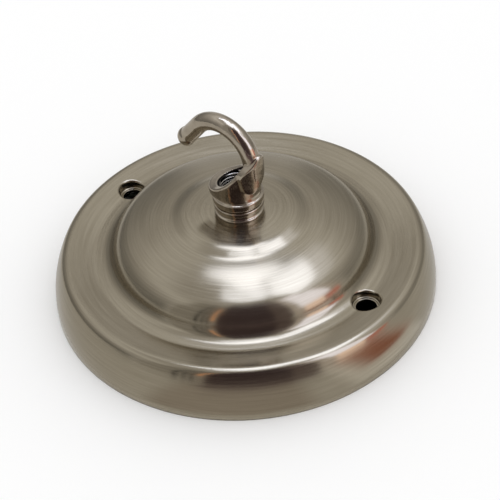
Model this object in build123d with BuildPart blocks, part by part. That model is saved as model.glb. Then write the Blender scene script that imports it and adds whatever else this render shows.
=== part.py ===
from build123d import *
import math
import os

os.makedirs("parts", exist_ok=True)

# A ceiling hook plate: a pressed, stepped dome with two front-fixing holes, and a cast
# cord hook clamped to its crown by a hollow threaded nipple, a toothed washer and a nut.
# All sizes are in millimetres and degrees. The origin is the centre of the rim's plane,
# +Z points to the hook, and the fixing holes and the hook's arm lie in the XZ plane.

# Plate: sheet, rim, skirt, shoulder and flat band
sheet = 1.0
rim_radius = 54.0
skirt_radius = 26.5
skirt_turn = 28.5
shoulder_round = 2.4
band_fall = 12.0

# Plate: hollow between the band and the dome
hollow_radius = 41.4
hollow_floor = 2.05
hollow_slope = 2.0
hollow_round = 3.66

# Plate: dome, a tight curve at its foot and a wide one over its top
dome_foot_slope = 72.0
dome_side_round = 8.5
dome_turn_slope = 22.0
dome_top_round = 44.0
dome_top_slope = 5.0

# Plate: raised crown, a soft shoulder and part of a sphere, with a flat seat for the hook
crown_step_slope = 30.0
crown_round = 10.4
crown_slope = 6.0
seat_margin = 1.9

# Plate: screw holes, each in the floor of a pressed cup
hole_offset = 41.5
screw_hole_radius = 2.8
cup_radius = 4.0
cup_depth = 2.0

# Thread that joins the hook to the plate, drawn as plain cylinders
thread_radius = 5.0
thread_clearance = 0.05
passing_clearance = 0.2

# Hook: walls of foot, neck, two rings and barrel round the thread, and heights above the seat
foot_wall = 1.75
foot_height = 0.6
neck_wall = 1.15
lower_ring_wall = 1.85
lower_ring_bottom = 2.0
lower_ring_top = 3.4
groove_wall = 1.1
groove_width = 0.7
upper_ring_wall = 2.0
upper_ring_height = 2.0
collar_round = 0.24
barrel_foot_wall = 1.4
barrel_foot_width = 0.5
barrel_wall = 2.05
barrel_flare_drop = 1.0
barrel_offset = 0.9

# Hook: slanting mouth, which climbs from the front of the barrel to the arm
mouth_front_height = 8.3
mouth_front_reach = 7.6
mouth_back_offset = 6.3
mouth_back_reach = 8.0
mouth_back_slope = 78.0
mouth_outer_round = 0.6
mouth_inner_round = 0.5

# Hook: leaf-shaped lug at the root of the arm, with its tip to one side of the barrel
lug_crest_wall = 3.3
lug_side_wall = 1.2
lug_centre_height = 16.2
lug_half_width = 5.0
lug_rise = 5.9
lug_fall = 7.9
lug_top_offset = 0.8
lug_tip_offset = 4.0
lug_top_round = 2.4
lug_side_round = 4.0
lug_tip_round = 1.6
lug_edge_round = 0.3

# Hook: arm
rod_radius = 2.45
arm_bend_radius = 9.8
arm_bend_offset = 4.1
arm_bend_height = 17.1
arm_root_depth = 4.0
arm_turn = 140.0
arm_run = 7.2
knob_radius = 2.75
knob_flat_depth = 0.45
knob_flat_angle = 60.0

# Nipple, toothed washer and nut
nipple_wall = 1.4
nipple_in_hook = 5.5
nipple_below_nut = 2.0
nipple_chamfer = 0.4
washer_width = 3.0
washer_thickness = 0.8
washer_teeth = 12
washer_tooth_depth = 1.3
washer_tooth_gap = 1.6
nut_wall = 1.95
nut_thickness = 3.0
nut_chamfer = 0.5


# Radii that follow the thread
threaded_radius = thread_radius + thread_clearance
passing_radius = thread_radius + passing_clearance
foot_radius = threaded_radius + foot_wall
seat_radius = foot_radius + seat_margin
barrel_radius = threaded_radius + barrel_wall
lug_reach = threaded_radius + lug_crest_wall
nut_apothem = threaded_radius + nut_wall
washer_radius = passing_radius + washer_width


def heading(angle):
    """A unit vector in a section's plane, at an angle in degrees from its first axis."""
    return Vector(math.cos(math.radians(angle)), math.sin(math.radians(angle)))


def draw_plate_outline():
    """Draw the outer face of the plate's section from the rim to the axis.

    Slopes are measured from the horizontal. Returns the heights of the band's inner edge
    and of the seat.
    """
    skirt = JernArc((rim_radius, 0), (0, 1), skirt_radius, skirt_turn)
    shoulder = JernArc(skirt @ 1, skirt % 1, shoulder_round, 90 - skirt_turn + band_fall)
    band_length = ((shoulder @ 1).X - hollow_radius) / math.cos(math.radians(band_fall))
    band = Line(shoulder @ 1, shoulder @ 1 + (shoulder % 1) * band_length)
    floor_heading = heading(180 - hollow_slope)
    floor = Line(band @ 1, band @ 1 + floor_heading * hollow_floor)
    hollow = JernArc(floor @ 1, floor_heading, hollow_round, hollow_slope - dome_foot_slope)
    side = JernArc(hollow @ 1, hollow % 1, dome_side_round, dome_foot_slope - dome_turn_slope)
    top = JernArc(side @ 1, side % 1, dome_top_round, dome_turn_slope - dome_top_slope)
    step_heading = heading(180 - crown_step_slope)
    step = JernArc(top @ 1, step_heading, crown_round, crown_step_slope - crown_slope)
    crown_radius = (step @ 1).X / math.sin(math.radians(crown_slope))
    seat_slope = math.degrees(math.asin(seat_radius / crown_radius))
    crown = JernArc(step @ 1, step % 1, crown_radius, crown_slope - seat_slope)
    Line(crown @ 1, (0, (crown @ 1).Y))
    return (band @ 1).Y, (crown @ 1).Y


# Plate as a solid form, from which the sheet and the cups are taken
with BuildPart() as plate_form:
    with BuildSketch(Plane.XZ):
        with BuildLine():
            band_height, seat_height = draw_plate_outline()
            Polyline((0, seat_height), (0, 0), (rim_radius, 0))
        make_face()
    revolve(axis=Axis.Z)

hole_places = [(-hole_offset, 0), (hole_offset, 0)]
ledge_height = band_height - cup_depth

# Cups before they are hollowed, trimmed by the plate's outer face
with BuildPart() as cup_blanks:
    add(plate_form.part)
    with BuildSketch(Plane.XY.offset(ledge_height - sheet)):
        with Locations(*hole_places):
            Circle(cup_radius + sheet)
    extrude(amount=seat_height, mode=Mode.INTERSECT)

# Canopy: the pressed plate, open below
with BuildPart() as canopy:
    with BuildSketch(Plane.XZ):
        with BuildLine():
            draw_plate_outline()
            offset(amount=sheet, side=Side.LEFT)
        make_face()
    revolve(axis=Axis.Z)
    add(cup_blanks.part)
    with BuildSketch(Plane.XY.offset(ledge_height)):
        with Locations(*hole_places):
            Circle(cup_radius)
    extrude(amount=seat_height, mode=Mode.SUBTRACT)
    with BuildSketch():
        Circle(passing_radius)
        with Locations(*hole_places):
            Circle(screw_hole_radius)
    extrude(amount=seat_height, mode=Mode.SUBTRACT)
canopy.part.label = "canopy"
export_step(canopy.part, "parts/canopy.step")

# Space above the hook's slanting mouth
with BuildPart() as mouth_space:
    mouth_edge = lug_reach + barrel_offset
    mouth_top = lug_centre_height + lug_rise
    with BuildSketch(Plane.XZ):
        with BuildLine():
            mouth_front = Vector(-mouth_edge, seat_height + mouth_front_height)
            mouth_back = Vector(mouth_back_offset, seat_height + mouth_top)
            Bezier(
                mouth_front,
                mouth_front + Vector(mouth_front_reach, 0),
                mouth_back - heading(mouth_back_slope) * mouth_back_reach,
                mouth_back,
            )
            Polyline(mouth_back, (-mouth_edge, seat_height + mouth_top), mouth_front)
        make_face()
    extrude(amount=mouth_edge, both=True)

# Threaded bore of the hook, which ends at the mouth
with BuildPart() as hook_bore:
    with BuildSketch(Plane.XY.offset(seat_height)):
        Circle(threaded_radius)
    extrude(amount=mouth_top)
    add(mouth_space.part, mode=Mode.SUBTRACT)

# Collar of the hook: foot, neck, and two rings with a groove between them
with BuildPart() as collar:
    groove_top = seat_height + lower_ring_top + groove_width
    upper_ring_top = groove_top + upper_ring_height
    barrel_foot_radius = threaded_radius + barrel_foot_wall
    barrel_foot_top = upper_ring_top + barrel_foot_width
    with BuildSketch(Plane.XZ):
        with BuildLine():
            FilletPolyline(
                (0, seat_height),
                (foot_radius, seat_height),
                (foot_radius, seat_height + foot_height),
                (threaded_radius + neck_wall, seat_height + foot_height),
                (threaded_radius + neck_wall, seat_height + lower_ring_bottom),
                (threaded_radius + lower_ring_wall, seat_height + lower_ring_bottom),
                (threaded_radius + lower_ring_wall, seat_height + lower_ring_top),
                (threaded_radius + groove_wall, seat_height + lower_ring_top),
                (threaded_radius + groove_wall, groove_top),
                (threaded_radius + upper_ring_wall, groove_top),
                (threaded_radius + upper_ring_wall, upper_ring_top),
                (barrel_foot_radius, upper_ring_top),
                (barrel_foot_radius, barrel_foot_top),
                radius=collar_round,
            )
            Polyline((barrel_foot_radius, barrel_foot_top), (0, barrel_foot_top), (0, seat_height))
        make_face()
    revolve(axis=Axis.Z)
    add(hook_bore.part, mode=Mode.SUBTRACT)

# Barrel of the hook: it widens from the collar to just below the mouth, more to its side
with BuildPart() as barrel:
    flare_top = seat_height + mouth_front_height - barrel_flare_drop
    with BuildSketch(Plane.XY.offset(barrel_foot_top)):
        Circle(barrel_foot_radius)
    with BuildSketch(Plane.XY.offset(flare_top)):
        with Locations((-barrel_offset, 0)):
            Circle(barrel_radius)
    loft()
    with BuildSketch(Plane.XY.offset(flare_top)):
        with Locations((-barrel_offset, 0)):
            Circle(barrel_radius)
    extrude(amount=seat_height + lug_centre_height - flare_top)
    add(mouth_space.part, mode=Mode.SUBTRACT)
    fillet(barrel.edges(Select.NEW).filter_by(GeomType.BSPLINE), mouth_outer_round)
    add(hook_bore.part, mode=Mode.SUBTRACT)
    fillet(barrel.edges(Select.NEW).filter_by(GeomType.BSPLINE), mouth_inner_round)

# Lug of the hook: a leaf that swells from the barrel, open to the mouth
with BuildPart() as lug:
    with BuildSketch(Plane.YZ) as leaf:
        with Locations((0, seat_height + lug_centre_height)):
            Polygon(
                (lug_top_offset, lug_rise),
                (-lug_half_width, 0),
                (-lug_tip_offset, -lug_fall),
                (lug_half_width, 0),
                align=None,
            )
        fillet(leaf.vertices().sort_by(Axis.Y)[1:3], lug_side_round)
        fillet(leaf.vertices().sort_by(Axis.Y)[-1], lug_top_round)
        fillet(leaf.vertices().sort_by(Axis.Y)[0], lug_tip_round)
    extrude(amount=lug_reach)
    with BuildSketch(Plane.XY.offset(seat_height)):
        Ellipse(lug_reach, threaded_radius + lug_side_wall)
    extrude(amount=seat_height, mode=Mode.INTERSECT)
    fillet(lug.faces().sort_by(Axis.X)[-1].edges(), lug_edge_round)
    add(mouth_space.part, mode=Mode.SUBTRACT)

# Arm of the hook: a round rod that rises from the lug and bends over the mouth
with BuildPart() as arm:
    root_offset = arm_bend_radius - arm_bend_offset
    bend_height = seat_height + arm_bend_height
    with BuildLine(Plane.XZ):
        root = Line((root_offset, bend_height - arm_root_depth), (root_offset, bend_height))
        bend = JernArc(root @ 1, root % 1, arm_bend_radius, arm_turn)
        run = Line(bend @ 1, bend @ 1 + (bend % 1) * arm_run)
    with BuildSketch(Plane(root @ 0, z_dir=root % 0)):
        Circle(rod_radius)
    sweep()

# Knob at the arm's tip, with a flat on the side that faces the barrel
with BuildPart() as knob:
    with Locations(run @ 1):
        Sphere(knob_radius)
    flat_angle = math.radians(knob_flat_angle)
    flat_heading = Vector(math.sin(flat_angle), 0, -math.cos(flat_angle))
    flat_plane = Plane(run @ 1 + flat_heading * (knob_radius - knob_flat_depth), z_dir=flat_heading)
    split(bisect_by=flat_plane, keep=Keep.BOTTOM)

# Hook: one casting
with BuildPart() as hook:
    add(lug.part)
    add(arm.part)
    add(hook_bore.part, mode=Mode.SUBTRACT)
    add(collar.part)
    add(barrel.part)
    add(knob.part)
hook.part.label = "hook"
export_step(hook.part, "parts/hook.step")

washer_top = seat_height - sheet
nut_top = washer_top - washer_thickness
nut_bottom = nut_top - nut_thickness
nipple_bottom = nut_bottom - nipple_below_nut

# Nipple: the hollow threaded tube that carries the cable and holds the hook
with BuildPart() as threaded_nipple:
    with BuildSketch(Plane.XY.offset(nipple_bottom)):
        Circle(thread_radius)
    extrude(amount=seat_height + nipple_in_hook - nipple_bottom)
    chamfer(threaded_nipple.edges().filter_by(GeomType.CIRCLE), nipple_chamfer)
    with Locations((0, 0, seat_height + nipple_in_hook)):
        Hole(thread_radius - nipple_wall)
threaded_nipple.part.label = "threaded_nipple"
export_step(threaded_nipple.part, "parts/threaded_nipple.step")

# Lock washer, with teeth round its edge
with BuildPart() as lock_washer:
    with BuildSketch(Plane.XY.offset(nut_top)):
        Circle(washer_radius)
        Circle(passing_radius, mode=Mode.SUBTRACT)
        with PolarLocations(washer_radius, washer_teeth):
            Rectangle(2 * washer_tooth_depth, washer_tooth_gap, mode=Mode.SUBTRACT)
    extrude(amount=washer_thickness)
lock_washer.part.label = "lock_washer"
export_step(lock_washer.part, "parts/lock_washer.step")

# Lock nut, a thin hexagon with bevelled corners
with BuildPart() as lock_nut:
    with BuildSketch(Plane.XY.offset(nut_bottom)):
        Circle(nut_apothem / math.cos(math.radians(30)))
    extrude(amount=nut_thickness)
    chamfer(lock_nut.edges().filter_by(GeomType.CIRCLE), nut_chamfer)
    with BuildSketch(Plane.XY.offset(nut_bottom)):
        RegularPolygon(nut_apothem, 6, major_radius=False)
        Circle(threaded_radius, mode=Mode.SUBTRACT)
    extrude(amount=nut_thickness, mode=Mode.INTERSECT)
lock_nut.part.label = "lock_nut"
export_step(lock_nut.part, "parts/lock_nut.step")
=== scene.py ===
"""Looks of a ceiling canopy: a spun satin nickel plate with a cast cord hook.

The plate, the hook's skin, its thread and the nipple are surfaces of this script; the lock
washer and the lock nut are the frame's own solids, dressed here. Lengths in the classes are
in millimetres, and one function turns them to metres when a mesh is made.
"""

import logging
import math
from dataclasses import dataclass, field
from enum import Enum

import bmesh
import bpy
import numpy as np
from bpy.types import Material, Node, NodeSocket, NodeTree, Object
from mathutils import Matrix, Vector


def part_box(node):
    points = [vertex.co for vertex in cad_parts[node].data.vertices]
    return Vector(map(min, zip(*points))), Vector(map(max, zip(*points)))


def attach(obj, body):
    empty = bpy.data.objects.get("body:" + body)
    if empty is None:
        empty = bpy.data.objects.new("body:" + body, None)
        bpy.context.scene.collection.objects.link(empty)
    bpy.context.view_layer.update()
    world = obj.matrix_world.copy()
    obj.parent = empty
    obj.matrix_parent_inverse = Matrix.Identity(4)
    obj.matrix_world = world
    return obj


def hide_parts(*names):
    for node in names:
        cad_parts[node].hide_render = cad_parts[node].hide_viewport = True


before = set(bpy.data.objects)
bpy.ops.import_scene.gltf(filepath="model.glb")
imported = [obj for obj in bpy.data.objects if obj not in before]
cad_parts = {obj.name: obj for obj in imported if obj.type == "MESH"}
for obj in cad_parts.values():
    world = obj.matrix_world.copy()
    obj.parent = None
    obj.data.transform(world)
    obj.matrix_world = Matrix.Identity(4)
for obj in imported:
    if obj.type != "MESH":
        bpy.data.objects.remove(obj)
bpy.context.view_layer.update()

LOG = logging.getLogger("canopy")
MM = 0.001
ROOT = "root"

# Most of a noise's values lie in this range
NOISE_MIDDLE = (0.3, 0.7)

# Points nearer to each other than this, in millimetres, are one point
DOUBLES_APART = 0.001


class Slot(Enum):
    """The record's material slots that this script dresses."""

    PLATE = "satin_nickel_sheet"
    HOOK = "bright_nickel_casting"
    TUBE = "zinc_plated_tube"


def srgb(code: str) -> tuple[float, float, float, float]:
    """Turn an sRGB hex value to linear colour.

    Args:
        code: Six hex digits with a leading hash.

    Returns:
        Linear red, green and blue, and an alpha of 1.
    """
    channels = np.array([int(code[i : i + 2], 16) for i in (1, 3, 5)]) / 255.0
    low = channels / 12.92
    high = ((channels + 0.055) / 1.055) ** 2.4
    linear = np.where(channels <= 0.04045, low, high)
    return (*linear.tolist(), 1.0)


def add_node(
    tree: NodeTree, kind: str, settings: dict | None = None, inputs: dict | None = None
) -> Node:
    """Add a shader node with its settings, values and links.

    Args:
        tree: The node tree that takes the node.
        kind: The node's type name.
        settings: Attributes of the node, by name.
        inputs: Values or output sockets for its inputs, by name or index.

    Returns:
        The new node.
    """
    node = tree.nodes.new(kind)
    for name, value in (settings or {}).items():
        setattr(node, name, value)
    for name, value in (inputs or {}).items():
        if isinstance(value, NodeSocket):
            tree.links.new(value, node.inputs[name])
        else:
            node.inputs[name].default_value = value
    return node


def new_material(name: str) -> tuple[Material, NodeTree]:
    """Make an empty node material.

    Args:
        name: The material's name.

    Returns:
        The material and its node tree, with no nodes.
    """
    material = bpy.data.materials.new(name)
    material.use_nodes = True
    material.node_tree.nodes.clear()
    return material, material.node_tree


def add_noise(tree: NodeTree, place: NodeSocket, size: float, detail: float = 2.0) -> NodeSocket:
    """Add a noise whose lumps have a real size.

    Args:
        tree: The material's node tree.
        place: Where the noise is taken, in metres.
        size: The lumps' size in millimetres.
        detail: How many finer noises lie over it.

    Returns:
        The noise's value, mostly within NOISE_MIDDLE.
    """
    inputs = {"Vector": place, "Scale": 1 / (size * MM), "Detail": detail}
    return add_node(tree, "ShaderNodeTexNoise", inputs=inputs).outputs["Fac"]


def add_range(
    tree: NodeTree,
    value: NodeSocket,
    source: tuple[float, float],
    target: tuple[float, float] = (0.0, 1.0),
) -> NodeSocket:
    """Stretch a value from one range to another and clamp it there.

    Args:
        tree: The material's node tree.
        value: The value.
        source: The range that it comes from.
        target: The range that it goes to.

    Returns:
        The new value.
    """
    inputs = {
        "Value": value,
        "From Min": source[0],
        "From Max": source[1],
        "To Min": target[0],
        "To Max": target[1],
    }
    return add_node(tree, "ShaderNodeMapRange", inputs=inputs).outputs["Result"]


def add_blend(tree: NodeTree, share: NodeSocket, first: str, second: str) -> NodeSocket:
    """Blend two colours.

    Args:
        tree: The material's node tree.
        share: How much of the second colour, from 0 to 1.
        first: A colour in sRGB.
        second: Another colour in sRGB.

    Returns:
        The blended colour.
    """
    inputs = {"Factor": share, "A": srgb(first), "B": srgb(second)}
    return add_node(tree, "ShaderNodeMix", {"data_type": "RGBA"}, inputs).outputs["Result"]


def add_bump(
    tree: NodeTree,
    height: NodeSocket,
    strength: float,
    depth: float,
    under: NodeSocket | None = None,
) -> NodeSocket:
    """Tilt the surface by a height.

    Args:
        tree: The material's node tree.
        height: The height, from 0 to 1.
        strength: How much of the tilt is kept.
        depth: What a height of 1 stands for, in millimetres.
        under: The normal of a bump that this one lies on, where there is one.

    Returns:
        The tilted normal.
    """
    inputs = {"Strength": strength, "Distance": depth * MM, "Height": height}
    if under is not None:
        inputs["Normal"] = under
    return add_node(tree, "ShaderNodeBump", inputs=inputs).outputs[0]


def add_radius(tree: NodeTree, place: NodeSocket) -> tuple[NodeSocket, NodeSocket, NodeSocket]:
    """Measure how far a place is from the Z axis.

    Args:
        tree: The material's node tree.
        place: The place, in metres.

    Returns:
        The place with its height left out, its distance from the axis, and its height.
    """
    split = add_node(tree, "ShaderNodeSeparateXYZ", inputs={0: place}).outputs
    plan = add_node(tree, "ShaderNodeCombineXYZ", inputs={"X": split["X"], "Y": split["Y"]}).outputs[0]
    radius = add_node(tree, "ShaderNodeVectorMath", {"operation": "LENGTH"}, {0: plan})
    return plan, radius.outputs["Value"], split["Z"]


def close_material(tree: NodeTree, inputs: dict, kind: str = "ShaderNodeBsdfPrincipled") -> None:
    """Add a material's shader and its output.

    Args:
        tree: The material's node tree.
        inputs: Values and sockets for the shader, by name.
        kind: The shader's type name.
    """
    shader = add_node(tree, kind, inputs=inputs)
    add_node(tree, "ShaderNodeOutputMaterial", inputs={"Surface": shader.outputs[0]})


def smooth_step(value: np.ndarray) -> np.ndarray:
    """Ease from 0 to 1 with flat ends: three v squared less two v cubed, v clipped."""
    clipped = np.clip(value, 0.0, 1.0)
    return clipped * clipped * (3.0 - 2.0 * clipped)


def turned(radius: np.ndarray, height: np.ndarray, angles: np.ndarray) -> np.ndarray:
    """Turn a section round the axis: a point is its radius times the cosine and sine, at its height.

    Args:
        radius: The points' distances from the axis.
        height: Their heights.
        angles: The angles, in radians.

    Returns:
        The positions, with the three arrays' common shape and one more axis of three.
    """
    radius, height, angles = np.broadcast_arrays(radius, height, angles)
    return np.stack([radius * np.cos(angles), radius * np.sin(angles), height], axis=-1)


def grid_faces(rows: int, columns: int, closed_rows: bool, closed_columns: bool) -> np.ndarray:
    """List the quads of a grid of points.

    Args:
        rows: Number of points along the first parameter.
        columns: Number of points along the second parameter.
        closed_rows: Whether the last row joins the first.
        closed_columns: Whether the last column joins the first.

    Returns:
        An array of quads, each four point numbers, row by row.
    """
    i = np.arange(rows if closed_rows else rows - 1)[:, None]
    j = np.arange(columns if closed_columns else columns - 1)[None, :]
    i_next = (i + 1) % rows
    j_next = (j + 1) % columns
    quads = np.stack(
        np.broadcast_arrays(
            i * columns + j, i * columns + j_next, i_next * columns + j_next, i_next * columns + j
        ),
        axis=-1,
    )
    return quads.reshape(-1, 4)


def surface_object(name: str, points: np.ndarray, faces: np.ndarray | list) -> Object:
    """Make a smooth mesh object from points in millimetres.

    Args:
        name: The piece's name.
        points: An array of positions, three values each.
        faces: An array of quads, or a list of faces of any kind.

    Returns:
        The object, linked to the scene, at the origin.
    """
    mesh = bpy.data.meshes.new(name)
    corners = faces.tolist() if isinstance(faces, np.ndarray) else faces
    mesh.from_pydata((points * MM).tolist(), [], corners)
    mesh.validate()
    mesh.polygons.foreach_set("use_smooth", np.ones(len(mesh.polygons), dtype=bool))
    mesh.update()
    piece = bpy.data.objects.new(name, mesh)
    bpy.context.scene.collection.objects.link(piece)
    return piece


def place_piece(
    piece: Object, material: Material, nodes: tuple[str, ...] = ()
) -> Object:
    """Dress a new piece and tie it to the frame.

    Args:
        piece: The new object.
        material: Its finish.
        nodes: The frame's nodes that it takes the place of.

    Returns:
        The same piece.
    """
    piece.data.materials.clear()
    piece.data.materials.append(material)
    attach(piece, ROOT)
    if nodes:
        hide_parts(*nodes)
    LOG.info("%s: %d faces", piece.name, len(piece.data.polygons))
    return piece


@dataclass(frozen=True)
class SatinNickelSheet:
    """Nickel plate on steel sheet, brushed on a lathe and lacquered.

    The brush leaves fine rings, so a reflection smears along the profile and stays sharper
    round the axis. The fine rings, 0.12 mm apart, are bump; the coarse ones, 0.5 mm apart, are
    the faint light and dark streaks that the eye reads as brushing.
    """

    colour: str = "#ABA290"
    shade: str = "#948B79"
    roughness: tuple[float, float] = (0.145, 0.205)
    anisotropy: float = 0.78
    smear_turn: float = 0.25
    ring_mm: float = 0.12
    ring_depth_mm: float = 0.0016
    ring_strength: float = 0.35
    streak_mm: float = 0.5
    streak_drift: float = 0.03
    streak_range: tuple[float, float] = (0.27, 0.73)
    streak_share: float = 0.65
    blotch_mm: float = 14.0

    def material(self) -> Material:
        """Build the plate's material.

        Returns:
            A metal whose tone, roughness and bump follow rings round the Z axis.
        """
        material, tree = new_material("satin_nickel_brushed_sheet")
        place = add_node(tree, "ShaderNodeTexCoord").outputs["Object"]
        plan, radius, height = add_radius(tree, place)
        # The radius less the height runs on along the profile and stays still round it
        along = add_node(tree, "ShaderNodeMath", {"operation": "SUBTRACT"}, {0: radius, 1: height})
        # A streak fades and starts again, so the noise also drifts slowly round the plate
        drift = add_node(
            tree, "ShaderNodeVectorMath", {"operation": "SCALE"}, {0: plan, "Scale": self.streak_drift}
        )
        drifted = add_node(tree, "ShaderNodeSeparateXYZ", inputs={0: drift.outputs[0]}).outputs
        rings = add_node(
            tree,
            "ShaderNodeCombineXYZ",
            inputs={"X": along.outputs[0], "Y": drifted["X"], "Z": drifted["Y"]},
        ).outputs[0]
        fine = add_noise(tree, rings, self.ring_mm)
        coarse = add_noise(tree, rings, self.streak_mm, detail=3.0)
        share = add_node(
            tree,
            "ShaderNodeMix",
            {"data_type": "FLOAT"},
            {
                "Factor": self.streak_share,
                "A": add_noise(tree, place, self.blotch_mm),
                "B": add_range(tree, coarse, self.streak_range),
            },
        ).outputs["Result"]
        tangent = add_node(tree, "ShaderNodeTangent", {"direction_type": "RADIAL", "axis": "Z"})
        close_material(
            tree,
            {
                "Metallic": 1.0,
                "Base Color": add_blend(tree, share, self.shade, self.colour),
                "Roughness": add_range(tree, coarse, NOISE_MIDDLE, self.roughness),
                "Anisotropic": self.anisotropy,
                "Anisotropic Rotation": self.smear_turn,
                "Tangent": tangent.outputs[0],
                "Normal": add_bump(tree, fine, self.ring_strength, self.ring_depth_mm),
            },
        )
        return material


@dataclass(frozen=True)
class BrightNickelCasting:
    """Bright nickel on a tumbled casting: sharp reflections over a slightly wavy skin."""

    colour: str = "#C0B6A6"
    shade: str = "#9A8F80"
    roughness: tuple[float, float] = (0.09, 0.17)
    wave_mm: float = 2.8
    wave_depth_mm: float = 0.2
    wave_strength: float = 0.5
    pit_mm: float = 0.35
    pit_depth_mm: float = 0.006
    pit_strength: float = 0.4

    def material(self) -> Material:
        """Build the hook's material.

        Returns:
            A metal whose waves and pits come from two noises on the object's place.
        """
        material, tree = new_material("bright_nickel_tumbled_casting")
        place = add_node(tree, "ShaderNodeTexCoord").outputs["Object"]
        wave = add_noise(tree, place, self.wave_mm, detail=1.5)
        pit = add_noise(tree, place, self.pit_mm)
        waves = add_bump(tree, wave, self.wave_strength, self.wave_depth_mm)
        close_material(
            tree,
            {
                "Metallic": 1.0,
                "Base Color": add_blend(tree, wave, self.shade, self.colour),
                "Roughness": add_range(tree, pit, NOISE_MIDDLE, self.roughness),
                "Normal": add_bump(tree, pit, self.pit_strength, self.pit_depth_mm, under=waves),
            },
        )
        return material


@dataclass(frozen=True)
class TappedBore:
    """Tapped zinc alloy that the plating hardly reached: bright crests, and flanks darkened by bare zinc
    and painted shade.
    """

    crest: str = "#E0DAD0"
    flank_bare_and_shaded: str = "#26221F"
    crest_radius: float = 4.56
    flank_radius: float = 4.73
    roughness: float = 0.22

    def material(self) -> Material:
        """Build the thread's material.

        Returns:
            A metal that darkens from the crests' radius out to the flanks': bare zinc, and painted shade
            in the thread's valleys.
        """
        material, tree = new_material("tapped_zinc_bare_flanks_and_painted_shade")
        place = add_node(tree, "ShaderNodeTexCoord").outputs["Object"]
        _, radius, _ = add_radius(tree, place)
        # Darker towards the wall: partly bare zinc, partly painted shade in the valleys
        depth = add_range(tree, radius, (self.crest_radius * MM, self.flank_radius * MM))
        tone = add_blend(tree, depth, self.crest, self.flank_bare_and_shaded)
        close_material(tree, {"Metallic": 1.0, "Base Color": tone, "Roughness": self.roughness})
        return material


@dataclass(frozen=True)
class ZincPlate:
    """Bright zinc on turned or stamped steel: cool grey with cloudy passivation."""

    name: str
    colour: str = "#A9ABAA"
    shade: str = "#8E9190"
    roughness: tuple[float, float] = (0.25, 0.38)
    cloud_mm: float = 2.0
    grain_mm: float = 0.25
    grain_depth_mm: float = 0.004
    grain_strength: float = 0.4

    def material(self) -> Material:
        """Build the fastener's material.

        Returns:
            A metal with cloudy colour and a fine grain in its bump.
        """
        material, tree = new_material(self.name)
        place = add_node(tree, "ShaderNodeTexCoord").outputs["Object"]
        cloud = add_noise(tree, place, self.cloud_mm, detail=3.0)
        grain = add_noise(tree, place, self.grain_mm)
        close_material(
            tree,
            {
                "Metallic": 1.0,
                "Base Color": add_blend(tree, cloud, self.shade, self.colour),
                "Roughness": add_range(tree, cloud, NOISE_MIDDLE, self.roughness),
                "Normal": add_bump(tree, grain, self.grain_strength, self.grain_depth_mm),
            },
        )
        return material


@dataclass
class Profile:
    """A section drawn as tangent arcs and lines, from the rim to the axis.

    Attributes:
        place: The last point, radius then height.
        heading: The direction of travel in degrees, from the outward radius.
        step: The spacing of the points.
        points: The points so far.
        fewest_on_line: The fewest points that a line gets.
        fewest_on_arc: The fewest points that an arc gets.
        widest_facet: The most that an arc turns from point to point, in degrees.
    """

    place: np.ndarray
    heading: float
    step: float
    points: list[np.ndarray] = field(default_factory=list)
    fewest_on_line: int = 2
    fewest_on_arc: int = 3
    widest_facet: float = 8.0

    def line(self, length: float) -> None:
        """Go straight on.

        Args:
            length: How far.
        """
        count = max(self.fewest_on_line, math.ceil(length / self.step))
        travel = np.linspace(0, length, count + 1)[1:, None]
        angle = math.radians(self.heading)
        new = self.place + travel * np.array([math.cos(angle), math.sin(angle)])
        self.points.append(new)
        self.place = new[-1]

    def arc(self, radius: float, turn: float) -> None:
        """Turn on a circle: the centre plus the radius at an angle that grows evenly.

        Args:
            radius: The circle's radius.
            turn: The angle turned in degrees, positive to the left.
        """
        side = math.copysign(1.0, turn)
        start = math.radians(self.heading - 90 * side)
        centre = self.place - radius * np.array([math.cos(start), math.sin(start)])
        by_length = math.ceil(radius * abs(math.radians(turn)) / self.step)
        by_turn = math.ceil(abs(turn) / self.widest_facet)
        count = max(self.fewest_on_arc, by_length, by_turn)
        angles = start + np.radians(np.linspace(0, turn, count + 1)[1:])
        new = centre + radius * np.stack([np.cos(angles), np.sin(angles)], axis=1)
        self.points.append(new)
        self.place = new[-1]
        self.heading += turn

    def curve(self) -> np.ndarray:
        """All the points in one array."""
        return np.concatenate(self.points)


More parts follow.
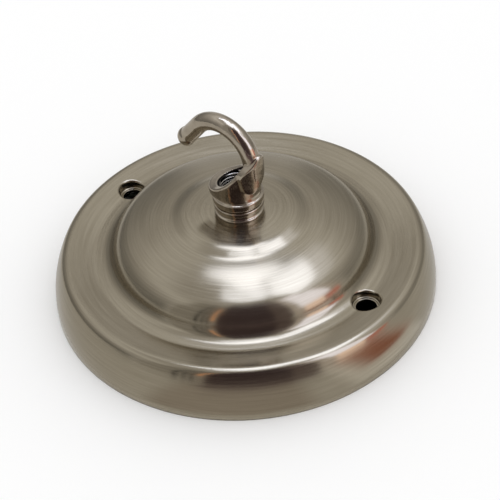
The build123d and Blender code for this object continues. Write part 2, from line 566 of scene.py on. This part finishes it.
@dataclass
class Plate:
    """The pressed plate: one sheet with a skirt, a band, a hollow, a dome, a crown and two cups."""

    finish: SatinNickelSheet

    # The outer face's section from the rim to the centre hole, and the sheet under it
    sheet: float = 1.0
    rim_radius: float = 54.0
    skirt_radius: float = 26.5
    skirt_turn: float = 28.5
    shoulder_round: float = 2.4
    band_fall: float = 12.0
    hollow_radius: float = 41.4
    hollow_floor: float = 2.05
    hollow_slope: float = 2.0
    hollow_round: float = 3.66
    dome_foot_slope: float = 72.0
    dome_side_round: float = 8.5
    dome_turn_slope: float = 22.0
    dome_top_round: float = 44.0
    dome_top_slope: float = 5.0
    crown_step_slope: float = 30.0
    crown_round: float = 10.4
    crown_slope: float = 6.0
    seat_radius: float = 8.7
    centre_hole: float = 5.2
    crease_passes: int = 4
    crease_reach: int = 4

    # The cups: the inner wall stands inside the pressed radius, and its lip rolls on to the sheet
    hole_offset: float = 41.5
    screw_hole: float = 2.8
    cup_radius: float = 4.0
    cup_depth: float = 2.0
    cup_wall: float = 3.75
    cup_lip: float = 0.6
    edge_round: float = 0.15

    # How finely the sheet is divided, and the block of cells that each cup takes
    step: float = 0.6
    columns: int = 360
    block_inner: float = 34.8
    block_outer: float = 47.6
    block_half_turn: int = 9

    # The rings between a block's edge and its cup, crowded towards the cup, and those of the cup
    first_share: float = 0.08
    ring_crowding: float = 1.4
    sheet_rings: int = 12
    under_rings: int = 9
    lip_rings: int = 8
    wall_shares: tuple[float, ...] = (0.33, 0.66, 1.0)
    corner_angles: tuple[float, ...] = (30.0, 60.0, 90.0)

    band_height: float = field(init=False, default=0.0)

    def outer_profile(self) -> tuple[np.ndarray, np.ndarray]:
        """Draw the outer face's section and its outward directions.

        Returns:
            The points, radius and height, from the rim to the centre hole, and for each the
            unit direction square to the section, pointing out of the plate.
        """
        path = Profile(np.array([self.rim_radius, 0.0]), 90.0, self.step)
        path.points.append(path.place[None, :])
        path.arc(self.skirt_radius, self.skirt_turn)
        path.arc(self.shoulder_round, 90 - self.skirt_turn + self.band_fall)
        slope = math.cos(math.radians(self.band_fall))
        path.line((path.place[0] - self.hollow_radius) / slope)
        self.band_height = float(path.place[1])
        path.heading = 180 - self.hollow_slope
        path.line(self.hollow_floor)
        path.arc(self.hollow_round, self.hollow_slope - self.dome_foot_slope)
        path.arc(self.dome_side_round, self.dome_foot_slope - self.dome_turn_slope)
        path.arc(self.dome_top_round, self.dome_turn_slope - self.dome_top_slope)
        crease = sum(len(part) for part in path.points)
        path.heading = 180 - self.crown_step_slope
        path.arc(self.crown_round, self.crown_step_slope - self.crown_slope)
        crown = path.place[0] / math.sin(math.radians(self.crown_slope))
        seat_slope = math.degrees(math.asin(self.seat_radius / crown))
        path.arc(crown, self.crown_slope - seat_slope)
        path.heading = 180.0
        path.line(self.seat_radius - self.centre_hole)
        points = path.curve()
        # Pressing leaves no sharp corner above the crown's step, so its points are averaged
        start, end = crease - self.crease_reach, crease + self.crease_reach
        for _ in range(self.crease_passes):
            sides = points[start - 1 : end - 1] + points[start + 1 : end + 1]
            points[start:end] = points[start:end] / 2 + sides / 4
        travel = np.gradient(points, axis=0)
        travel /= np.linalg.norm(travel, axis=1, keepdims=True)
        out = np.stack([travel[:, 1], -travel[:, 0]], axis=1)
        # The rim's edge lies flat, and the centre hole's wall stands upright
        out[0] = (1.0, 0.0)
        out[-1] = (0.0, 1.0)
        return points, out

    def build(self) -> Object:
        """Make the plate as one closed skin.

        The section is the outer face and the same points moved in by the sheet, joined at
        the rim and at the centre hole, and turned round the axis. A block of cells round
        each cup is left out and filled by rings that run down the cup and back under it.

        Returns:
            The dressed plate.
        """
        outer, out = self.outer_profile()
        inner = outer - self.sheet * out
        loop = np.concatenate([outer, inner[::-1]])
        angles = np.radians(np.arange(self.columns) * 360.0 / self.columns)
        points = turned(loop[:, :1], loop[:, 1:], angles)
        flat_points = points.reshape(-1, 3)
        faces = grid_faces(*points.shape[:2], True, True).reshape(*points.shape[:2], 4)
        first = int(np.argmax(outer[:, 0] < self.block_outer))
        last = int(np.argmax(outer[:, 0] < self.block_inner))
        under_first = len(loop) - 1 - last
        under_last = len(loop) - 1 - first
        keep = np.ones(faces.shape[:2], dtype=bool)
        half = self.block_half_turn
        extra_points: list[np.ndarray] = []
        extra_faces: list[np.ndarray] = []
        offset = len(flat_points)
        for middle in (0, self.columns // 2):
            turn = np.arange(middle - half, middle + half) % self.columns
            keep[first:last, turn] = False
            keep[under_first:under_last, turn] = False
            top = self.block_loop(first, last, middle)
            under = self.block_loop(under_last, under_first, middle)
            rings = self.cup_rings(flat_points[top], flat_points[under], outer, inner, middle)
            new_points = rings.reshape(-1, 3)
            new = offset + np.arange(len(new_points)).reshape(-1, len(top))
            numbers = np.concatenate([top[None, :], new, under[None, :]])
            ring_faces = grid_faces(*numbers.shape, False, True)
            extra_faces.append(numbers.reshape(-1)[ring_faces])
            extra_points.append(new_points)
            offset += len(new_points)
        all_points = np.concatenate([flat_points, *extra_points])
        all_faces = np.concatenate([faces[keep], *extra_faces])
        piece = surface_object("canopy_plate", all_points, all_faces)
        turn_outwards(piece)
        return place_piece(piece, self.finish.material(), ("canopy",))

    def block_loop(self, first: int, last: int, middle: int) -> np.ndarray:
        """Number the points round a block of cells, the same way for both faces.

        Args:
            first: The block's row on the rim's side.
            last: Its row on the axis's side.
            middle: Its middle column.

        Returns:
            The point numbers, once round, from the rim's side.
        """
        half = self.block_half_turn
        turn = np.arange(middle - half, middle + half + 1)
        way = 1 if last > first else -1
        rows = np.arange(first, last, way)
        width, height = len(turn) - 1, len(rows)
        row_list = np.concatenate([np.full(width, first), rows, np.full(width, last), rows[::-1] + way])
        turn_list = np.concatenate(
            [turn[:-1], np.full(height, turn[-1]), turn[:0:-1], np.full(height, turn[0])]
        )
        return row_list * self.columns + turn_list % self.columns

    def cup_rings(
        self, top: np.ndarray, under: np.ndarray, outer: np.ndarray, inner: np.ndarray, middle: int
    ) -> np.ndarray:
        """Work out the rings of one cup, from its block's top edge to its lower edge.

        In plan each ring lies between the block's edge and a circle round the hole. On the
        sheet its height is the section's height at that radius; then it rolls over the lip,
        goes down the wall, over the ledge, through the hole, and back up outside the cup.

        Args:
            top: The block's edge on the outer face.
            under: The block's edge on the inner face.
            outer: The outer section.
            inner: The inner section.
            middle: The block's middle column.

        Returns:
            The rings' points: ring, place in the ring, coordinates.
        """
        centre = np.array([self.hole_offset * (1 if middle == 0 else -1), 0.0])
        away = top[:, :2] - centre
        away /= np.linalg.norm(away, axis=1, keepdims=True)
        ledge = self.band_height - self.cup_depth
        floor = ledge - self.sheet
        wall, lip = self.cup_wall, self.cup_lip
        outside = self.cup_radius + self.sheet
        small = self.edge_round
        large = 2 * self.edge_round

        def height(section: np.ndarray, plan: np.ndarray) -> np.ndarray:
            """Height of a section at each plan point's distance from the axis."""
            reach = np.linalg.norm(plan, axis=-1)
            return np.interp(reach, section[::-1, 0], section[::-1, 1])

        def on_sheet(
            edge: np.ndarray, section: np.ndarray, radius: float, shares: np.ndarray
        ) -> list[np.ndarray]:
            """Rings on the sheet, between the block's edge and a circle."""
            circle = centre + away * radius
            rings = []
            for share in shares:
                plan = edge[:, :2] * (1 - share) + circle * share
                rings.append(np.column_stack([plan, height(section, plan)]))
            return rings

        def level(radius: float, z: float | np.ndarray) -> np.ndarray:
            """A ring on a circle round the hole, at given heights."""
            plan = centre + away * radius
            return np.column_stack([plan, np.broadcast_to(z, len(plan))])

        def below(section: np.ndarray, radius: float, fall: float) -> np.ndarray:
            """A ring on a circle round the hole, at a depth under a section."""
            return level(radius, height(section, centre + away * radius) - fall)

        corner = np.radians(self.corner_angles)
        shares = 1 - (1 - np.linspace(self.first_share, 1, self.sheet_rings)) ** self.ring_crowding
        rings = on_sheet(top, outer, wall + lip, shares)
        for angle in np.linspace(0, np.pi / 2, self.lip_rings)[1:]:
            rings.append(below(outer, wall + lip * (1 - math.sin(angle)), lip * (1 - math.cos(angle))))
        lip_end = rings[-1][:, 2]
        wall_foot = ledge + large
        for share in self.wall_shares:
            rings.append(level(wall, lip_end * (1 - share) + wall_foot * share))
        for angle in corner:
            rings.append(level(wall - large * (1 - math.cos(angle)), wall_foot - large * math.sin(angle)))
        hole_edge = self.screw_hole + small
        rings.append(level((wall - large + hole_edge) / 2, ledge))
        for angle in (0.0, *corner):
            rings.append(level(hole_edge - small * math.sin(angle), ledge - small * (1 - math.cos(angle))))
        # Down the hole, under the ledge and up the cup's outside
        rings.append(level(self.screw_hole, floor + small))
        rings.append(level(hole_edge, floor))
        rings.append(level(outside - large, floor))
        rings.append(level(outside, floor + large))
        wall_top = below(inner, outside, lip)
        rings.append(level(outside, (floor + large + wall_top[:, 2]) / 2))
        rings.append(wall_top)
        for angle in corner:
            rings.append(below(inner, outside + lip * (1 - math.cos(angle)), lip * (1 - math.sin(angle))))
        shares = np.linspace(1 - self.first_share, self.first_share, self.under_rings)
        rings += on_sheet(under, inner, outside + lip, shares)
        return np.stack(rings)


def turn_outwards(piece: Object) -> None:
    """Merge a piece's doubles and turn all its faces outwards.

    Args:
        piece: A closed mesh object.
    """
    work = bmesh.new()
    work.from_mesh(piece.data)
    loose = [point for point in work.verts if not point.link_faces]
    bmesh.ops.delete(work, geom=loose, context="VERTS")
    bmesh.ops.remove_doubles(work, verts=work.verts, dist=DOUBLES_APART * MM)
    bmesh.ops.recalc_face_normals(work, faces=work.faces)
    work.to_mesh(piece.data)
    work.free()
    piece.data.update()


@dataclass
class Hook:
    """The cast hook: its skin, and the thread that shows in its slanting mouth."""

    finish: BrightNickelCasting
    bore_finish_and_shade: TappedBore
    seat: float

    # The skin, and how far the plated rim reaches into the bore, whose dark finish is bare zinc and
    # painted shade
    rim_width: float = 0.4
    rim_depth: float = 0.08
    skin_weld: float = 0.002
    skin_step: float = 0.17
    skin_smoothing: int = 6
    smoothing_share: float = 0.5

    # The thread's ridge: its root is sunk into the wall, and its ends and its top by the mouth fade
    thread_radius: float = 5.05
    thread_crest: float = 4.46
    thread_sink: float = 0.08
    thread_width: float = 0.62
    end_width: float = 0.25
    pitch: float = 1.0
    thread_start: float = 5.9
    thread_end: float = 17.0
    thread_fade: float = 0.05
    thread_columns: int = 72
    thread_section: int = 12
    mouth_margin: float = 0.25
    mouth_fade: float = 0.5

    # The mouth's edge from its front to its back: along the hook's plane, and above the seat
    mouth_front: tuple[float, float] = (-9.25, 8.3)
    mouth_back: tuple[float, float] = (6.3, 22.1)
    mouth_front_reach: float = 7.6
    mouth_back_reach: float = 8.0
    mouth_back_slope: float = 78.0
    mouth_points: int = 200

    def mouth_height(self, x: np.ndarray) -> np.ndarray:
        """Height of the mouth above the seat at each x: a cubic curve of four points.

        Args:
            x: Places along the hook's plane.

        Returns:
            The heights.
        """
        slope = math.radians(self.mouth_back_slope)
        start = np.array(self.mouth_front)
        end = np.array(self.mouth_back)
        first = start + (self.mouth_front_reach, 0.0)
        second = end - self.mouth_back_reach * np.array([math.cos(slope), math.sin(slope)])
        t = np.linspace(0, 1, self.mouth_points)[:, None]
        curve = (
            (1 - t) ** 3 * start
            + 3 * (1 - t) ** 2 * t * first
            + 3 * (1 - t) * t**2 * second
            + t**3 * end
        )
        return np.interp(x, curve[:, 0], curve[:, 1])

    def build_skin(self) -> Object:
        """Copy the casting's solid and soften its edges.

        The solid is sampled again as an even skin, and a light smoothing then rounds every
        edge by about the skin's step, as tumbling does.

        Returns:
            The dressed skin.
        """
        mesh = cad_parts["hook"].data.copy()
        # The modifiers' sizes are in millimetres, so the mesh is too while they work
        mesh.transform(Matrix.Scale(1 / MM, 4))
        draft = bpy.data.objects.new("hook_casting_draft", mesh)
        bpy.context.scene.collection.objects.link(draft)
        weld = draft.modifiers.new("weld", "WELD")
        weld.merge_threshold = self.skin_weld
        remesh = draft.modifiers.new("even_skin", "REMESH")
        remesh.mode = "VOXEL"
        remesh.voxel_size = self.skin_step
        smooth = draft.modifiers.new("tumbled_edges", "SMOOTH")
        smooth.factor = self.smoothing_share
        smooth.iterations = self.skin_smoothing
        graph = bpy.context.evaluated_depsgraph_get()
        skin = bpy.data.meshes.new_from_object(draft.evaluated_get(graph))
        skin.transform(Matrix.Scale(MM, 4))
        skin.name = "hook_casting"
        skin.polygons.foreach_set("use_smooth", np.ones(len(skin.polygons), dtype=bool))
        bpy.data.objects.remove(draft)
        piece = bpy.data.objects.new("hook_casting", skin)
        bpy.context.scene.collection.objects.link(piece)
        place_piece(piece, self.finish.material(), ("hook",))
        self.bare_and_shaded_bore(piece)
        return piece

    def bare_and_shaded_bore(self, piece: Object) -> None:
        """Give the bore's wall the dark thread finish, from the mouth down: bare zinc, and painted shade
        in the bore and over its inner edge.

        Args:
            piece: The skin, already dressed.
        """
        mesh = piece.data
        mesh.materials.append(self.bore_finish_and_shade.material())
        centres = np.empty(len(mesh.polygons) * 3)
        mesh.polygons.foreach_get("center", centres)
        x, y, z = centres.reshape(-1, 3).T / MM
        # The faces inside the bore take the dark finish: painted shade besides the bare zinc
        inside = np.hypot(x, y) < self.thread_radius + self.rim_width
        below = z - self.seat < self.mouth_height(x) - self.rim_depth
        mesh.polygons.foreach_set("material_index", (inside & below).astype(np.int32))

    def build_thread(self) -> Object:
        """Make the thread's ridge, which climbs the bore up to the slanting mouth.

        Along the turn the angle grows and the height grows by the pitch; across it the
        radius runs from the wall in to the crest and back, by a raised cosine, and shrinks
        to the wall where the mouth is cut away.

        Returns:
            The dressed thread.
        """
        turns = (self.thread_end - self.thread_start) / self.pitch
        along = np.linspace(0, 1, int(turns * self.thread_columns) + 1)[:, None]
        angle = along * turns * 2 * np.pi
        middle = self.thread_start + along * turns * self.pitch
        room = self.mouth_height(self.thread_radius * np.cos(angle)) - middle
        ends = smooth_step(along / self.thread_fade) * smooth_step((1 - along) / self.thread_fade)
        share = smooth_step((room - self.mouth_margin) / self.mouth_fade) * ends
        across = np.linspace(0, 2 * np.pi, self.thread_section, endpoint=False)[None, :]
        lift = (1 - np.cos(across)) / 2
        wall = self.thread_radius + self.thread_sink
        radius = wall - (wall - self.thread_crest) * lift * share
        half_width = self.pitch * self.thread_width / 2
        side = np.sin(across) * half_width * (self.end_width + (1 - self.end_width) * share)
        points = turned(radius, self.seat + middle + side, angle)
        rows, columns = points.shape[:2]
        faces = grid_faces(rows, columns, False, True).reshape(rows - 1, columns, 4)
        solid = share[:, 0] > 0
        keep = solid[:-1] & solid[1:]
        edges = np.flatnonzero(np.diff(np.concatenate([[False], keep, [False]]).astype(int)))
        # Each open end of the ridge is closed by a fan of triangles round its middle
        caps = points[edges].mean(axis=1)
        ring = np.arange(columns)
        tips = rows * columns + np.arange(len(edges))
        first = edges[:, None] * columns
        fans = np.stack(
            np.broadcast_arrays(tips[:, None], first + ring, first + (ring + 1) % columns), axis=-1
        )
        all_points = np.concatenate([points.reshape(-1, 3), caps])
        all_faces = faces[keep].reshape(-1, 4).tolist() + fans.reshape(-1, 3).tolist()
        piece = surface_object("hook_thread", all_points, all_faces)
        turn_outwards(piece)
        return place_piece(piece, self.bore_finish_and_shade.material())


@dataclass
class Nipple:
    """The hollow threaded tube under the hook."""

    finish: ZincPlate
    seat: float
    crest: float = 5.0
    root: float = 4.45
    bore: float = 3.6
    above_seat: float = 5.5
    length: float = 12.3
    pitch: float = 1.0
    edge: float = 0.4
    bore_edge: float = 0.15
    thread_fade: float = 0.5
    rows_per_mm: int = 12
    columns: int = 72

    def build(self) -> Object:
        """Make the tube with its thread.

        The section is a closed loop: up the outside, across the top, down the bore. Outside,
        the radius at a height and an angle is the crest less a raised cosine of their phase,
        which climbs by the pitch in a turn, and the thread fades at both ends.

        Returns:
            The dressed tube.
        """
        top = self.seat + self.above_seat
        bottom = top - self.length
        angles = np.linspace(0, 2 * np.pi, self.columns, endpoint=False)[None, :]
        rows = int(self.length * self.rows_per_mm)
        heights = np.linspace(bottom + self.edge, top - self.edge, rows)[:, None]
        phase = 2 * np.pi * heights / self.pitch - angles
        near_end = np.minimum(heights - bottom, top - heights)
        share = smooth_step((near_end - self.edge) / self.thread_fade)
        outside = self.crest - (self.crest - self.root) * (1 - np.cos(phase)) / 2 * share
        section = np.array(
            [
                (self.crest - self.edge, top),
                (self.bore + self.bore_edge, top),
                (self.bore, top - self.bore_edge),
                (self.bore, (top + bottom) / 2),
                (self.bore, bottom + self.bore_edge),
                (self.bore + self.bore_edge, bottom),
                (self.crest - self.edge, bottom),
            ]
        )
        rest = turned(section[:, :1], section[:, 1:], angles)
        points = np.concatenate([turned(outside, heights, angles), rest])
        faces = grid_faces(len(points), self.columns, True, True)
        piece = surface_object("threaded_nipple_tube", points.reshape(-1, 3), faces)
        turn_outwards(piece)
        return place_piece(piece, self.finish.material(), ("threaded_nipple",))


@dataclass(frozen=True)
class Panel:
    """A curved card or softbox of the studio, seen only in reflections.

    Attributes:
        name: What it is.
        azimuths: Its two sides, in degrees to the right of the camera.
        elevations: Its lower and upper edge, in degrees above the horizon.
        strength: How bright it is; white paper is 1.
        colour: Its colour in sRGB.
        distances: How far its lower and its upper edge are, in millimetres; a nearer card
            hides a farther one.
        soft: Over how many degrees its sides fade, and its lower and upper edge.
    """

    name: str
    azimuths: tuple[float, float]
    elevations: tuple[float, float]
    strength: float
    colour: str = "#FFFFFF"
    distances: tuple[float, float] = (1000.0, 1000.0)
    soft: tuple[float, float] = (1.5, 1.5)


@dataclass
class Studio:
    """The floor, the white surround, the cards round the plate and the camera."""

    # The camera; the shift is in widths of the picture, and the clipping in metres
    aim: tuple[float, float, float] = (4.441, -2.149, 14.0)
    stand: tuple[float, float, float] = (172.52, -195.685, 244.615)
    roll: float = -4.8055
    lens: float = 90.0
    sensor_width: float = 36.0
    shift: tuple[float, float] = (0.0, -0.003)
    clip: tuple[float, float] = (0.01, 20.0)
    camera_azimuth: float = -48.6

    # The floor, the black disc of painted shade under the plate and the cards' grids
    floor_half: float = 3000.0
    floor_level: float = -0.02
    underlay_radii: tuple[float, float] = (1.02, 51.0)
    underlay_level: float = 0.01
    underlay_facet: float = 7.5
    panel_rows: int = 17
    panel_columns: int = 49
    panels: tuple[Panel, ...] = (
        Panel("grey_room", (-180, 180), (-3, 90), 0.62, "#FCFAF8", (1100.0, 1100.0), (0, 0)),
        Panel("grey_table", (-180, 180), (0.15, 0.01), 0.66, "#FCFAF6", (55.0, 900.0), (0, 0)),
        Panel("back_skylight", (141, 222), (66, 88), 4.4, "#DFE8FF", (250.0, 250.0), (9, 3)),
        Panel("back_right_skylight", (60, 141), (61, 82), 3.8, "#DFE8FF", (250.0, 250.0), (5, 3)),
        Panel("back_spill", (136, 212), (60, 84), 0.8, "#EEF2FF", (260.0, 260.0), (8, 4)),
        Panel("right_spill", (54, 144), (50, 84), 1.5, "#EEF2FF", (262.0, 262.0), (4, 6)),
        Panel("zenith_card", (-125, 215), (79, 90), 3.4, "#DFE8FF", (300.0, 300.0), (8, 2)),
        Panel("right_window", (40, 71), (16, 67), 2.6, "#E4E8FF", soft=(3, 4)),
        Panel("right_window_foot", (42, 63), (-2, 20), 1.8, "#FFE6DC", soft=(3, 4)),
        Panel("right_window_spill", (30, 80), (-3, 70), 0.75, "#FFF6F2", (1020.0, 1020.0), (5, 4)),
        Panel("front_dark_card", (-27, 21), (-4, 75), 0.1, "#E4C4CC", (1005.0, 1005.0), (3, 4)),
        Panel("front_dim_card", (5, 36), (-4, 75), 0.2, "#E8CFCC", (1007.0, 1007.0), (4, 4)),
        Panel("front_left_card", (-64, -23), (-4, 68), 0.46, "#F4F0EA", (1008.0, 1008.0), (3, 6)),
        Panel("stripe_one", (-43, -39.5), (-4, 66), 0.03, "#F4F0EA", soft=(1, 3)),
        Panel("stripe_two", (-37.5, -35), (-4, 66), 0.03, "#F4F0EA", soft=(1, 3)),
        Panel("stripe_three", (-33.5, -31), (-4, 66), 0.03, "#F4F0EA", soft=(1, 3)),
        Panel("orange_strip", (-30, -27), (10, 60), 1.9, "#E8A878", soft=(1, 6)),
        Panel("left_low_card", (-176, -60), (-36, 42), 0.34, "#FAF8F4", (1006.0, 1006.0), (12, 28)),
        Panel("left_dark_foot", (-172, -62), (-30, 14), 0.22, "#FAF8F4", (1004.0, 1004.0), (10, 16)),
        Panel("left_high_card", (-190, -56), (38, 66), 0.8, "#FFFFFF", (1005.0, 1005.0), (10, 12)),
        Panel("right_low_card", (80, 172), (-36, 40), 0.4, "#FAF8F4", (1006.0, 1006.0), (10, 24)),
        Panel("right_high_card", (74, 200), (36, 66), 0.84, "#FFFFFF", (1005.0, 1005.0), (8, 14)),
        Panel("right_warm_card", (60, 78), (-3, 16), 1.2, "#E8988A", (990.0, 990.0), (4, 4)),
        Panel("low_copper_card", (32, 68), (0.4, 0.06), 0.44, "#FFAC8A", (64.0, 700.0), (14, 0)),
        Panel("table_glow", (26, 66), (0.3, 0.1), 0.9, "#FFFFFF", (56.0, 260.0), (8, 0)),
        Panel("table_shade", (-38, 22), (0.3, 0.1), 0.5, "#FFF6EE", (56.0, 260.0), (10, 0)),
        Panel("table_dark_front", (-30, 34), (0.25, 0.05), 0.2, "#E4C4CC", (150.0, 900.0), (6, 0)),
    )

    def build_camera(self) -> None:
        """Set the camera where the photograph was taken from, with its roll."""
        stand = Vector(self.stand) * MM
        back = (stand - Vector(self.aim) * MM).normalized()
        level = Vector((0, 0, 1)).cross(back).normalized()
        upright = back.cross(level)
        roll = math.radians(self.roll)
        right = level * math.cos(roll) + upright * math.sin(roll)
        up = back.cross(right)
        data = bpy.data.cameras.new("photograph_camera")
        data.lens = self.lens
        data.sensor_width = self.sensor_width
        data.shift_x, data.shift_y = self.shift
        data.clip_start, data.clip_end = self.clip
        camera = bpy.data.objects.new("photograph_camera", data)
        facing = Matrix((right, up, back)).transposed().to_4x4()
        camera.matrix_world = Matrix.Translation(stand) @ facing
        bpy.context.scene.collection.objects.link(camera)
        bpy.context.scene.camera = camera

    def build_panel(self, panel: Panel) -> None:
        """Stand one card round the plate, part of a sphere about it.

        A point is the distance times the cosines and sines of its azimuth and elevation.
        The azimuth grows evenly across the card, the elevation and the distance up it.

        Args:
            panel: Its place, size and brightness.
        """
        across = np.linspace(*panel.azimuths, self.panel_columns)[None, :]
        up = np.linspace(*panel.elevations, self.panel_rows)[:, None]
        far = np.linspace(*panel.distances, self.panel_rows)[:, None]
        wide = np.radians(self.camera_azimuth + across)
        high = np.radians(up)
        points = turned(far * np.cos(high), far * np.sin(high), wide)
        faces = grid_faces(self.panel_rows, self.panel_columns, False, False)
        card = surface_object(panel.name, points.reshape(-1, 3), faces)
        fade = np.ones(points.shape[:2])
        ways = ((across, panel.azimuths, panel.soft[0]), (up, panel.elevations, panel.soft[1]))
        for place, ends, soft in ways:
            if soft:
                edge = np.minimum(place - ends[0], ends[1] - place)
                fade = fade * smooth_step(edge / soft)
        layer = card.data.attributes.new("fade", "FLOAT", "POINT")
        layer.data.foreach_set("value", fade.reshape(-1))
        material, tree = new_material(panel.name)
        light = {"Color": srgb(panel.colour), "Strength": panel.strength}
        glow = add_node(tree, "ShaderNodeEmission", inputs=light)
        clear = add_node(tree, "ShaderNodeBsdfTransparent")
        share = add_node(tree, "ShaderNodeAttribute", {"attribute_name": "fade"})
        both = {0: share.outputs["Fac"], 1: clear.outputs[0], 2: glow.outputs[0]}
        close_material(tree, both, "ShaderNodeMixShader")
        card.data.materials.append(material)
        card.visible_camera = False
        card.visible_shadow = False
        card.visible_diffuse = False

    def build_floor(self) -> None:
        """Lay the pale floor, matt white paper that keeps the plate's soft shadow."""
        half, level = self.floor_half, self.floor_level
        corners = np.array(
            [[-half, -half, level], [half, -half, level], [half, half, level], [-half, half, level]]
        )
        floor = surface_object("pale_floor", corners, np.array([[0, 1, 2, 3]]))
        material, tree = new_material("matt_white_paper")
        paper = {"Base Color": srgb("#FFFFFF"), "Roughness": 1.0, "Specular IOR Level": 0.0}
        close_material(tree, paper)
        floor.data.materials.append(material)

    def build_shade_disc(self) -> None:
        """Lay a black disc under the plate, painted shade that only shows through the screw holes."""
        turn = np.radians(np.arange(0, 360, self.underlay_facet))[None, :]
        radii = np.array(self.underlay_radii)[:, None]
        points = turned(radii, self.underlay_level, turn)
        faces = grid_faces(len(radii), turn.size, False, True)
        disc = surface_object("painted_shade_disc", points.reshape(-1, 3), faces)
        material, tree = new_material("painted_shade_black")
        # Black painted shade under the plate
        painted_black = {"Color": srgb("#0C0B0B"), "Roughness": 1.0}
        close_material(tree, painted_black, "ShaderNodeBsdfDiffuse")
        disc.data.materials.append(material)

    def build_world(self) -> None:
        """Surround the set with plain white, which also lights the floor."""
        world = bpy.data.worlds.new("white_surround")
        bpy.context.scene.world = world
        world.use_nodes = True
        tree = world.node_tree
        tree.nodes.clear()
        white = {"Color": srgb("#FFFFFF"), "Strength": 1.0}
        light = add_node(tree, "ShaderNodeBackground", inputs=white)
        add_node(tree, "ShaderNodeOutputWorld", inputs={"Surface": light.outputs[0]})

    def build(self) -> None:
        """Set up the whole studio."""
        self.build_camera()
        self.build_floor()
        self.build_shade_disc()
        self.build_world()
        for panel in self.panels:
            self.build_panel(panel)
        bpy.context.scene.view_settings.view_transform = "Standard"


def dress_node(name: str, material: Material) -> None:
    """Give one of the frame's own solids its finish.

    Args:
        name: The node's name.
        material: The finish.
    """
    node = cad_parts[name]
    if not node.data.materials:
        node.data.materials.append(material)
    for place in node.material_slots:
        place.material = material
    LOG.info("%s dressed", name)


def main() -> None:
    """Build the plate, the hook, the fasteners and the studio, in that order."""
    logging.basicConfig(level=logging.INFO, format="%(name)s: %(message)s")
    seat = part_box("hook")[0].z / MM
    Plate(SatinNickelSheet()).build()
    hook = Hook(BrightNickelCasting(), TappedBore(), seat)
    hook.build_skin()
    hook.build_thread()
    Nipple(ZincPlate("zinc_plated_threaded_tube"), seat).build()
    dress_node("lock_washer", ZincPlate("zinc_plated_spring_steel", "#8F8F8A", "#75756F").material())
    dress_node("lock_nut", ZincPlate("zinc_plated_pressed_nut").material())
    Studio().build()


if __name__ == "__main__":
    main()
